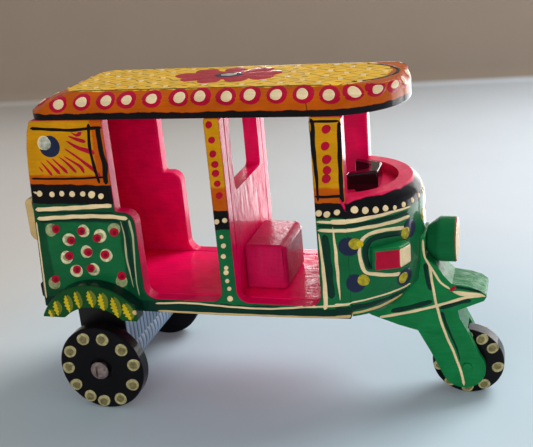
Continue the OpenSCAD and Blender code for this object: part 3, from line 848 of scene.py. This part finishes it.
def paint_rosette(face, colour, s, z, drop_s, drop_z):
    """A pale disc with a crimson drop on it."""
    dot(colour, face, s, z, DISC_R + jitter(0.08), LINE_H, lean=LEAN)
    dot("sage", face, s, z, DISC_HEART_R, HEART_H, on=LINE_H, lean=LEAN)
    drop_r = ROSETTE_DROP_R + jitter(0.06)
    dot("dot_red", face, drop_s, drop_z, drop_r, ROSETTE_DROP_H, on=ROSETTE_DROP_ON, lean=LEAN)
    heart_on = ROSETTE_DROP_ON + ROSETTE_DROP_H
    dot("deep_red", face, drop_s + 0.2, drop_z - 0.1, ROSETTE_HEART_R, HEART_H, on=heart_on, lean=LEAN)


def paint_quarter(side):
    """Moon and rays in a frame, the dotted band, and rosettes on the rear of a side."""
    face = flat_side(panel_name(side), side, HALF_W)
    for width, points in RAYS:
        line("dot_red", face, points, width * RAY_SWELL, swell, THIN_H)
    strokes(face, QUARTER_FRAME, on=FRAME_ON)
    for colour, ahead, up, r, height, on in MOON_DISCS:
        dot(colour, face, MOON[0] + ahead, MOON[1] + up, r, height, on=on, lean=LEAN)
    for s, z, r in QUARTER_DROPS:
        dot("cream", face, s, z, r, lean=LEAN)
    strokes(face, QUARTER_LINES)
    for colour, rosettes in (("disc_cream", ROSETTES), ("sage", CORNER_ROSETTES)):
        for rosette in rosettes:
            paint_rosette(face, colour, *rosette)


# Middle pillar, then front pillar: station, height and, for the cream drops, radius
PILLAR_REDS = (
    (70.4, 97.3), (70.8, 92.6), (70.7, 88.3), (71.0, 85.0), (70.9, 82.2), (71.1, 78.9), (71.3, 75.1))
PILLAR_RED_R = 1.15
PILLAR_CREAMS = (
    (69.5, 66.5, 0.9), (72.2, 67.0, 0.85), (70.6, 61.5, 0.65), (70.9, 58.5, 0.85), (70.5, 54.9, 0.85),
    (71.0, 51.0, 0.75), (70.8, 49.4, 0.9), (70.9, 46.5, 0.75), (71.3, 43.8, 0.75), (71.2, 40.3, 1.0))
FRONT_REDS = ((105.9, 95.6), (105.3, 90.6), (105.5, 86.6), (105.4, 83.3), (105.0, 80.7))
FRONT_RED_R = 1.4
FRONT_CREAMS = ((102.0, 69.9, 1.05), (104.5, 69.6, 1.05), (107.6, 70.3, 0.95))
# Brush lines of the front pillar and the sill
PILLAR_LINES = (
    ("black", 0.8, ((101.5, 97.9), (105.7, 97.9), (109.8, 98.0))),
    ("black", 2.0, ((101.6, 98.7), (101.7, 89.5), (102.1, 81.9), (102.1, 73.6)), tail),
    ("black", 1.3, ((109.8, 97.8), (109.4, 86.9), (109.3, 73.2))),
    ("black", 0.9, ((101.2, 75.1), (105.0, 75.1), (109.6, 75.4))),
    ("cream", 0.85, ((101.2, 67.1), (106.0, 67.1), (109.9, 67.2))),
    ("dark_green", 1.1, ((101.4, 65.8), (105.5, 65.8), (109.9, 65.9))),
    ("cream", 1.0, ((101.4, 64.4), (105.5, 64.4), (109.9, 64.4))),
    ("dark_green", 2.3, ((103.4, 63.0), (103.9, 54.4), (104.3, 42.0))),
    ("cream", 1.4, ((101.6, 63.4), (102.0, 57.1), (102.4, 48.9), (102.4, 41.0), (101.9, 38.1)), swell),
    ("cream", 1.1, ((106.0, 65.8), (106.5, 57.2), (106.7, 49.1), (107.0, 41.5)), leaf),
    ("cream", 0.65, ((45.1, 37.3), (56.6, 38.0), (71.5, 37.4), (83.8, 37.4), (95.8, 38.6), (102.6, 39.2),
                     (109.9, 40.2))),
    ("tan", 0.8, ((45.6, 34.6), (61.2, 34.6), (76.2, 34.8), (90.8, 35.0), (103.4, 35.4), (109.9, 36.0))))


def paint_pillars(side):
    """Dots down the middle and front pillars, with brush lines, and the lines of the sill."""
    face = flat_side(panel_name(side), side, HALF_W)
    for s, z in PILLAR_REDS:
        dot("dot_red", face, s, z, PILLAR_RED_R + jitter(0.06), CRIMSON_H, lean=LEAN)
    for s, z, r in PILLAR_CREAMS:
        dot("cream", face, s, z, r, lean=LEAN)
    for s, z in FRONT_REDS:
        dot("dot_red", face, s, z, FRONT_RED_R + jitter(0.08), CRIMSON_H, lean=LEAN)
    for s, z, r in FRONT_CREAMS:
        dot("cream", face, s, z, r, lean=LEAN)
    strokes(face, PILLAR_LINES)


# Nose, in degrees round from the side, height and radius
ARC = HALF_W / MM * math.pi / 180
NOSE_DROPS = ((13, 70.9, 1.15), (21, 70.4, 1.05), (29, 70.1, 1.0), (37, 70.0, 0.95), (45, 69.5, 0.7),
              (54, 69.5, 0.85), (65, 69.6, 0.8), (76, 69.7, 0.85), (87, 69.6, 0.8))
# Navy disc and yellow disc
NOSE_PAIRS = ((7, 59.3, 12, 60.2), (11, 47.2, 17, 48.2), (59, 61.4, 54, 60.6), (52.5, 46.0, 50.5, 46.1))
NAVY_R = 3.0
YELLOW_R = 1.9
# A bright heart on the first pair, and a yellow disc by itself near the headlamp
BRIGHT_HEART = (15.5, 60.1)
BRIGHT_HEART_R = 1.1
LONE_DISC = (81, 63.2)
# Brush lines: the pair round the side lamp, then all of them
LAMP_LINE = ((54, 62.3), (35, 63.4), (22, 62.7), (16, 60.3), (15, 57.2), (16, 53.9), (19, 50.7), (27, 49.6),
             (41, 48.2), (48, 47.8))
LAMP_SHADE = ((50, 60.9), (35, 61.7), (25, 61.1), (20.5, 59.2), (19.5, 56.5), (20.5, 53.4), (24, 51.6))
NOSE_LINES = (
    ("red", 1.2, ((3, 74.4), (5, 72.6), (6.5, 70.6)), tail),
    ("cream", 1.7, ((-6, 67.2), (6, 67.3), (23, 68.0), (43, 68.4), (61, 68.1)), tail),
    ("dark_green", 1.3, ((-6, 65.9), (6, 65.9), (29, 66.6), (43, 66.8), (59, 66.7))),
    ("cream", 1.1, ((-6, 64.4), (6, 64.5), (22, 65.1), (42, 65.3), (59, 65.3))),
    ("dark_green", 1.7, LAMP_SHADE),
    ("cream", 1.15, LAMP_LINE),
    ("cream", 0.65, ((-6, 40.0), (3, 40.3), (13, 41.0), (33, 42.1), (60, 42.7))),
    ("dark_green", 2.2, ((-6, 38.0), (2, 38.2), (13, 38.7), (40, 39.7), (59, 40.5))),
    ("tan", 1.5, ((-6, 35.9), (6, 36.3), (26, 36.8), (40, 37.5), (57, 38.7)), swell))


def paint_nose(side):
    """Dotted band, disc pairs and lines on one half of the nose."""
    flat = flat_side(panel_name(side), side, HALF_W)
    bend = round_end("nose", side, NOSE_CENTRE_X)

    def face(arc, z):
        s = station(NOSE_CENTRE_X) + arc
        return flat(s, z) if s < station(JOINT_X) else bend(arc, z)

    for angle, z, r in NOSE_DROPS:
        dot("cream", face, angle * ARC, z, r)
    for navy_angle, navy_z, yellow_angle, yellow_z in NOSE_PAIRS:
        dot("navy", face, navy_angle * ARC, navy_z, NAVY_R, 0.10, on=0.12)
        dot("disc_yellow", face, yellow_angle * ARC, yellow_z, YELLOW_R, 0.16, on=0.16)
    dot("leaf_yellow", face, BRIGHT_HEART[0] * ARC, BRIGHT_HEART[1], BRIGHT_HEART_R, 0.06, on=0.28)
    dot("disc_yellow", face, LONE_DISC[0] * ARC, LONE_DISC[1], YELLOW_R)
    for colour, width, points, *form in NOSE_LINES:
        line(colour, face, [(angle * ARC, z) for angle, z in points], width, *form)


# Fork board, in station and height
BEAK_LINES = (
    ("dark_green", 1.6, ((119.8, 30.2), (127.1, 32.4), (133.0, 34.5))),
    ("dark_green", 1.3, ((135.4, 32.0), (141.1, 34.3), (145.1, 35.4))),
    ("dark_green", 1.4, ((131.2, 47.6), (131.4, 43.9), (132.6, 38.3))),
    ("dark_green", 1.2, ((135.9, 31.0), (137.7, 25.2), (140.2, 18.9), (141.6, 13.6)), tail),
    ("dark_green", 0.9, ((140.2, 39.9), (145.1, 39.1), (148.4, 38.4))),
    ("cream", 0.95, ((116.0, 27.9), (125.7, 30.3), (134.4, 33.0), (142.9, 36.1), (146.4, 36.9))),
    ("cream", 0.85, ((132.3, 47.6), (133.1, 41.1), (134.3, 33.4), (136.5, 24.7), (139.8, 15.9),
                     (142.0, 8.7), (142.7, 4.6))),
    ("cream", 0.75, ((130.5, 55.6), (130.7, 51.0), (131.6, 48.4), (133.4, 45.2), (135.6, 41.4),
                     (138.6, 39.0))),
    ("cream", 1.9, ((139.3, 38.2), (142.2, 37.6), (145.1, 37.3), (148.0, 37.3), (149.5, 37.0)), leaf))
BERRY = ((138.7, 38.4), (140.4, 40.0))


def paint_beak(side):
    """Crossing lines, their shades, a leaf and a berry on one face of the fork board."""
    face = flat_side("front_fork", side, FORK_HALF)
    strokes(face, BEAK_LINES)
    line("dot_red", face, BERRY, 1.1, on=0.06)


# Leaf strokes on a fender: top and foot, in station and height, and width
FENDER_LEAVES = (
    (9.0, 35.6, 9.5, 33.3, 1.5), (12.0, 38.9, 11.7, 34.3, 2.1), (16.2, 41.2, 16.3, 35.7, 2.1),
    (19.9, 42.7, 20.2, 37.4, 1.9), (24.8, 43.2, 25.2, 38.0, 2.2), (29.2, 42.5, 28.9, 36.7, 2.5),
    (33.2, 41.2, 33.8, 34.7, 2.5), (37.0, 39.2, 38.3, 34.0, 2.6))
# Widths of the two strokes, and how far back the bright one lies, as shares of a leaf's width
LEAF_SHADE_W = 1.25
LEAF_BRIGHT_W = 0.8
LEAF_BACK = 0.26
FENDER_DROP = (40.0, 36.4)


def paint_fender(side):
    """Leaf strokes down the face of a fender: olive, with a bright ragged edge."""
    face = flat_side(f"fender_{'left' if side > 0 else 'right'}", side, FENDER_Y)
    for top_s, top_z, foot_s, foot_z, width in FENDER_LEAVES:
        mid_s = (top_s + foot_s) / 2
        mid_z = (top_z + foot_z) / 2
        shade = [(top_s + 0.3, top_z + 0.6), (mid_s + 0.5, mid_z), (foot_s + 0.1, foot_z - 0.4)]
        line("olive", face, shade, width * LEAF_SHADE_W, leaf, THIN_H)
        back = width * LEAF_BACK
        bright = [(top_s - back, top_z + 0.3), (mid_s - back, mid_z), (foot_s, foot_z - 0.5)]
        bright_w = width * LEAF_BRIGHT_W
        line("leaf_yellow", face, bright, bright_w, leaf, 0.12, on=0.04, ripple=COMB, step=COMB_STEP)
    dot("tan", face, *FENDER_DROP, 0.9)


# Drops along a side of the roof: station and height. Round its front: degrees from the side, and height.
ROOF_DROPS = (
    (20.3, 103.8), (28.4, 104.2), (36.4, 104.4), (43.4, 104.5), (51.8, 104.6), (60.4, 104.8), (67.5, 104.9),
    (75.4, 104.8), (82.9, 105.0), (91.0, 105.0), (99.0, 105.0), (106.8, 104.7))
ROOF_FRONT_DROPS = ((26, 105.2), (43, 105.4), (60, 105.4), (78, 105.4))
# Drops across its rear slope: widths, and station
ROOF_REAR_DROPS = (-17.0, -8.5, 0.0, 8.5, 17.0)
ROOF_REAR_S = 13.0
ROOF_DROP_R = 2.15
ROOF_HEART_R = 1.2
ROOF_STRETCH = 1.5
ROOF_REAR_STRETCH = 1.2
# Drops on the sides run back as they rise, and those round the front run forward
ROOF_LEAN = -0.28
ROOF_FRONT_LEAN = 0.15
# A crack in the near side
ROOF_CRACK = ((99.9, 103.4), (100.4, 102.0), (100.8, 100.6))


def roof_drop(place, u, v, stretch=ROOF_STRETCH, lean=ROOF_LEAN):
    """A crimson drop with a cream heart."""
    dot("dot_red", place, u, v, ROOF_DROP_R + jitter(0.08), 0.12, stretch, lean=lean)
    heart = (u + jitter(0.5), v + jitter(0.1), ROOF_HEART_R + jitter(0.08))
    dot("cream", place, *heart, 0.16, stretch, on=0.09, lean=lean)


def paint_roof_edge():
    """Drops all round the roof, and a crack in its near side."""
    for side in (-1, 1):
        flat = flat_side("roof", side, HALF_W)
        bend = round_end("roof", side, ROOF_CENTRE_X)
        for s, z in ROOF_DROPS:
            roof_drop(flat, s, z)
        for angle, z in ROOF_FRONT_DROPS:
            roof_drop(bend, angle * ARC, z, lean=ROOF_FRONT_LEAN)
    for y in ROOF_REAR_DROPS:
        roof_drop(from_above("roof"), ROOF_REAR_S, y, ROOF_REAR_STRETCH, 0.0)
    line("black", flat_side("roof", -1, HALF_W), ROOF_CRACK, 0.22, height=0.03)


FLOWER = (69.8, 1.4)
FLOWER_REACH = (19.0, 11.5)
FLOWER_STRETCH = 1.3
PETALS = 9
PETAL_W = 8.0
TOP_HALF = HALF_W / MM - 7.2
TOP_REAR_S = station(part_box("roof")[0].x) + 10.0
# Station halfway along the lines at the edges of the top
TOP_MIDDLE_S = 60.0
# Stripe round the front of the top: radius, and its width as a share of a round stripe's
STRIPE_R = 19.3
STRIPE_NARROW = 0.76
STRIPE_DEGREES = range(-66, 67, 12)


def on_lattice(s, y):
    """True on the yellow field of the roof, clear of its border and of the flower."""
    ahead = max(0.0, s - station(ROOF_CENTRE_X))
    in_length = TOP_REAR_S < s < station(ROOF_FRONT_X)
    in_border = abs(y) < TOP_HALF - 1 and math.hypot(ahead, y) < BORDER_R - 1
    flower_u = (s - FLOWER[0]) / FLOWER_REACH[0]
    flower_v = (y - FLOWER[1]) / FLOWER_REACH[1]
    return in_length and in_border and math.hypot(flower_u, flower_v) >= 1.04


def paint_lattice(face):
    """A cream dot on each crossing of the lattice, and a dash in each field."""
    for i in range(24):
        for j in range(-5, 6):
            s = i * LATTICE_S / 2
            y = j * LATTICE_Y / 2
            if not on_lattice(s, y):
                continue
            if (i + j) % 2 == 0:
                dot("cream", face, s + jitter(0.4), y + jitter(0.4), 0.75, stretch=1.25)
            else:
                dash = [(s - 1.1, y + jitter(0.3)), (s + 1.1, y + jitter(0.3))]
                line("lattice_olive", face, dash, 0.65, leaf, 0.06)


def paint_flower(face):
    """Crimson petals round a navy and grey heart."""
    for k in range(PETALS):
        a = 2 * math.pi * k / PETALS + 0.2
        reach = Vector((FLOWER_REACH[0] * math.cos(a), FLOWER_REACH[1] * math.sin(a)))
        tip = RNG.uniform(0.88, 1.04)
        petal = [Vector(FLOWER) + reach * share for share in (0.1, 0.6, tip)]
        line("dot_red", face, petal, PETAL_W, swell, 0.1)
    dot("dot_red", face, *FLOWER, 6.5, 0.12, FLOWER_STRETCH)
    dot("navy", face, *FLOWER, 3.6, 0.1, FLOWER_STRETCH, on=0.1)
    dot("pale_grey", face, *FLOWER, 2.0, 0.1, FLOWER_STRETCH, on=0.18)


def paint_roof_top():
    """Lattice, flower, and the lines along the edges of the top."""
    face = from_above("roof")
    paint_lattice(face)
    paint_flower(face)
    centre = station(ROOF_CENTRE_X)
    stripe = [(centre + STRIPE_R * math.cos(a), STRIPE_R * math.sin(a) * STRIPE_NARROW)
              for a in map(math.radians, STRIPE_DEGREES)]
    line("black", face, stripe, 1.2)
    for side in (-1, 1):
        edge = [(s, side * TOP_HALF) for s in (TOP_REAR_S, TOP_MIDDLE_S, centre)]
        line("lattice_olive", face, edge, 0.5, height=0.04)


# Drops on the wheel faces: degrees round from the front, and share of the wheel's radius
REAR_WHEEL_DROPS = (
    (114, 0.79), (79, 0.75), (42, 0.76), (11, 0.82), (-26, 0.79), (-64, 0.82), (-94, 0.82), (-118, 0.82),
    (-147, 0.83), (-178, 0.81), (151, 0.80))
FRONT_WHEEL_DROPS = (
    (62, 0.83), (35, 0.83), (-8, 0.83), (-57, 0.83), (-91, 0.83), (-127, 0.83), (-169, 0.83), (153, 0.80),
    (122, 0.82), (92, 0.80))
# Wheel: painted sides, drops, and radius of a drop as a share of the wheel's
WHEELS = {
    "wheel_rear_left": ((1,), REAR_WHEEL_DROPS, 0.15),
    "wheel_rear_right": ((-1,), REAR_WHEEL_DROPS, 0.15),
    "wheel_front": ((-1, 1), FRONT_WHEEL_DROPS, 0.165),
}
WHEEL_HEART = 0.62


def paint_wheels():
    """Rings of khaki drops with darker hearts on the wheel faces."""
    for name, (sides, drops, drop_share) in WHEELS.items():
        low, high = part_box(name)
        radius = (high.z - low.z) / MM / 2
        r = radius * drop_share
        body = BODY_OF[name]
        for side in sides:
            face = wheel_face(name, side)
            for degrees, share in drops:
                a = math.radians(degrees)
                u = radius * share * math.cos(a)
                v = radius * share * math.sin(a)
                dot("khaki", face, u, v, r, 0.16, body=body, lean=LEAN)
                heart = (u + jitter(0.3), v + jitter(0.3), r * WHEEL_HEART)
                dot("dark_khaki", face, *heart, HEART_H, body=body, on=0.15, lean=LEAN)


# Back panel, in width and height
BACK_DROPS = 9
BACK_PITCH = 4.2
BACK_DROPS_Z = 75.0
BACK_LINES = (
    ("cream", 1.3, ((-17.6, 70.4), (0, 70.6), (17.6, 70.4))),
    ("cream", 0.9, ((-17.4, 67.2), (0, 67.4), (17.4, 67.2))))


def paint_back():
    """Dots and lines of the black band across the back."""
    face = seen_from("back_panel", Vector((-1, 0, 0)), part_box("back_panel")[0].x)
    for k in range(BACK_DROPS):
        y = (k - BACK_DROPS // 2) * BACK_PITCH
        dot("cream", face, y + jitter(0.3), BACK_DROPS_Z + jitter(0.2), 1.1)
    strokes(face, BACK_LINES)


for hand in (-1, 1):
    paint_quarter(hand)
    paint_pillars(hand)
    paint_nose(hand)
    paint_beak(hand)
    paint_fender(hand)
paint_roof_edge()
paint_roof_top()
paint_wheels()
paint_back()

for (colour, body), shape in layers.items():
    bmesh.ops.recalc_face_normals(shape, faces=shape.faces)
    mesh = bpy.data.meshes.new(f"ornament_{colour}_{body}")
    shape.to_mesh(mesh)
    shape.free()
    mesh.shade_smooth()
    mesh.set_sharp_from_angle(angle=PAINT_SHARP_ANGLE)
    mesh.materials.append(MATERIALS[colour])
    ornament = new_object(f"ornament_{colour}_{body}", mesh)
    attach(ornament, body)

# Floor and wall
FLOOR_SIZE = 3.0
WALL_Y = 0.464
WALL_BEND = 0.012
BEND_STEPS = 8
WALL_H = 0.30
WALL_TURN = math.radians(6.5)
# Floor colours: painted shade to the left, painted light to the right on the window side
FLOOR_SHADED_LEFT = (0.58, 0.52, 0.46)
FLOOR_LIT_RIGHT = (0.80, 0.85, 0.90)
WALL_COLOUR = (0.40, 0.31, 0.24)
# Station where the floor changes from painted shade to painted light, and height where the wall starts,
# each with its softness
FLOOR_CHANGE = (100.0, 240.0)
WALL_START = (3.0, 2.0)
# Painted shadow: the floor is cooler and darker round the toy: station of the middle, then reach and
# softness in millimetres
FLOOR_SHADOW_TINT = (0.53, 0.64, 0.69)
SHADOW_MIDDLE_S = 85.0
SHADOW_REACH = (110.0, 80.0)


def backdrop():
    """A pale floor that sweeps up into a warm wall, with painted light to the right and a painted shadow
    round the toy.
    """
    shape = bmesh.new()
    profile = [(-FLOOR_SIZE, 0.0), (WALL_Y - WALL_BEND, 0.0)]
    for k in range(1, BEND_STEPS + 1):
        a = math.pi / 2 * k / BEND_STEPS
        profile.append((WALL_Y - WALL_BEND + WALL_BEND * math.sin(a), WALL_BEND - WALL_BEND * math.cos(a)))
    profile.append((WALL_Y, WALL_H))
    rows = [[shape.verts.new((x, y, z)) for x in (-FLOOR_SIZE, FLOOR_SIZE)] for y, z in profile]
    for a, b in zip(rows, rows[1:]):
        shape.faces.new((a[0], a[1], b[1], b[0]))
    mesh = bpy.data.meshes.new("backdrop")
    shape.to_mesh(mesh)
    shape.free()
    mesh.shade_smooth()
    paint = Paint("backdrop")
    # Painted light and shade on the floor: brighter to the right, a cool painted shadow round the toy
    floor = paint.mix(paint.rise(paint.s, *FLOOR_CHANGE), FLOOR_SHADED_LEFT, FLOOR_LIT_RIGHT)
    away = paint.away(paint.math("SUBTRACT", paint.s, SHADOW_MIDDLE_S), paint.y)
    floor = paint.mix(paint.rise(away, *SHADOW_REACH), FLOOR_SHADOW_TINT, floor)
    sheet = paint.mix(paint.rise(paint.z, *WALL_START), floor, WALL_COLOUR)
    colour = paint.shaded(sheet, paint.spread(paint.noise(0.02, 3.0), 0.98, 1.02))
    mesh.materials.append(paint.finish(colour, rough=(0.6, 0.75), bump=0.05, coat=BARE, gloss=0.0))
    sweep = new_object("backdrop", mesh)
    sweep.rotation_euler.z = WALL_TURN


def soft_light(name, spot, aim, size, power, colour=(1.0, 1.0, 1.0)):
    """A rectangular softbox aimed at a point."""
    light = bpy.data.lights.new(name, "AREA")
    light.shape = "RECTANGLE"
    light.size, light.size_y = size
    light.energy = power
    light.color = colour
    lamp = new_object(name, light)
    lamp.location = spot
    lamp.rotation_euler = (Vector(aim) - Vector(spot)).to_track_quat("-Z", "Y").to_euler()
    return lamp


def gloss_card(name, spot, aim, size, brightness):
    """A low card that only shows in the gloss of the lacquer."""
    card = soft_light(name, spot, aim, size, brightness * math.pi * size[0] * size[1])
    card.visible_diffuse = False
    card.visible_camera = False


def world_light(strength, colour):
    world = bpy.data.worlds.new("soft_sky")
    world.use_nodes = True
    sky = world.node_tree.nodes["Background"]
    sky.inputs["Color"].default_value = (*colour, 1.0)
    sky.inputs["Strength"].default_value = strength
    bpy.context.scene.world = world


backdrop()
MIDDLE = (0.0, 0.0, 0.05)
# Both softboxes are gridded, so that the floor near them stays even
WINDOW_SPREAD = math.radians(120)
FILL_SPREAD = math.radians(100)
window = soft_light("window", (0.62, 0.70, 1.05), MIDDLE, (0.8, 0.8), 7.2, (0.93, 0.97, 1.0))
window.data.spread = WINDOW_SPREAD
fill = soft_light("front_fill", (0.05, -0.90, 0.26), MIDDLE, (1.0, 0.42), 1.53, (1.0, 0.985, 0.97))
fill.data.spread = FILL_SPREAD
fill.visible_glossy = False
soft_light("rear_glow", (0.30, 0.50, 0.20), MIDDLE, (0.30, 0.30), 0.8)
gloss_card("gloss_behind", (0.07, 0.15, 0.055), (0.05, 0.0, 0.055), (0.20, 0.11), 3.5)
gloss_card("gloss_seat", (-0.038, 0.15, 0.102), (-0.030, 0.0, 0.072), (0.032, 0.026), 10.0)
gloss_card("gloss_right", (0.155, 0.052, 0.045), (0.05, -0.01, 0.045), (0.065, 0.065), 9.0)
world_light(0.40, (0.84, 0.93, 1.0))

# Camera: place and directions solved from the edges of the toy in the photo
CAMERA_SPOT = Vector((0.084581, -0.263701, 0.160837))
CAMERA_FORWARD = Vector((-0.2842, 0.8924, -0.3505)).normalized()
CAMERA_UP = Vector((-0.0205, 0.3599, 0.9328))
CAMERA_LENS = 60.0
SENSOR_WIDTH = 36.0

lens = bpy.data.cameras.new("camera")
lens.lens = CAMERA_LENS
lens.sensor_fit = "HORIZONTAL"
lens.sensor_width = SENSOR_WIDTH
lens.clip_start = 0.01
camera = new_object("camera", lens)
right = CAMERA_FORWARD.cross(CAMERA_UP).normalized()
up = right.cross(CAMERA_FORWARD)
turn = Matrix((right, up, -CAMERA_FORWARD)).transposed()
camera.matrix_world = Matrix.Translation(CAMERA_SPOT) @ turn.to_4x4()
bpy.context.scene.camera = camera
bpy.context.scene.view_settings.view_transform = "Standard"
